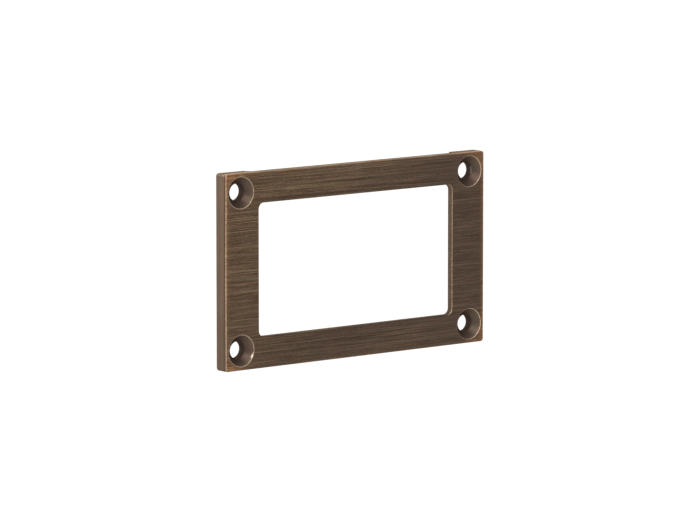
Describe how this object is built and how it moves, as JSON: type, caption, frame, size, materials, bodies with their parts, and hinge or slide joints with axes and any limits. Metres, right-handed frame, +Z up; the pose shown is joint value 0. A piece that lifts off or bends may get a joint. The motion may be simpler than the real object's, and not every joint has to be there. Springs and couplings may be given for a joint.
{
  "type": "label holder",
  "caption": "Flat rectangular brass label frame with a rounded window, a card pocket in the back that is open at the top, and countersunk screw holes in its corners.",
  "frame": {"origin": "middle of the screw pattern on the back face, which lies on the drawer front", "axes": "+X along the frame's width, +Y out of the back face into the drawer front, +Z up towards the pocket's open top; the front faces -Y"},
  "size_m": [0.076, 0.0035, 0.045],
  "materials": {
    "antique_bronze": "brushed antique bronze, worn to bare brass along its edges"
  },
  "bodies": {
    "root": {"label_frame": "antique_bronze"}
  },
  "joints": []
}
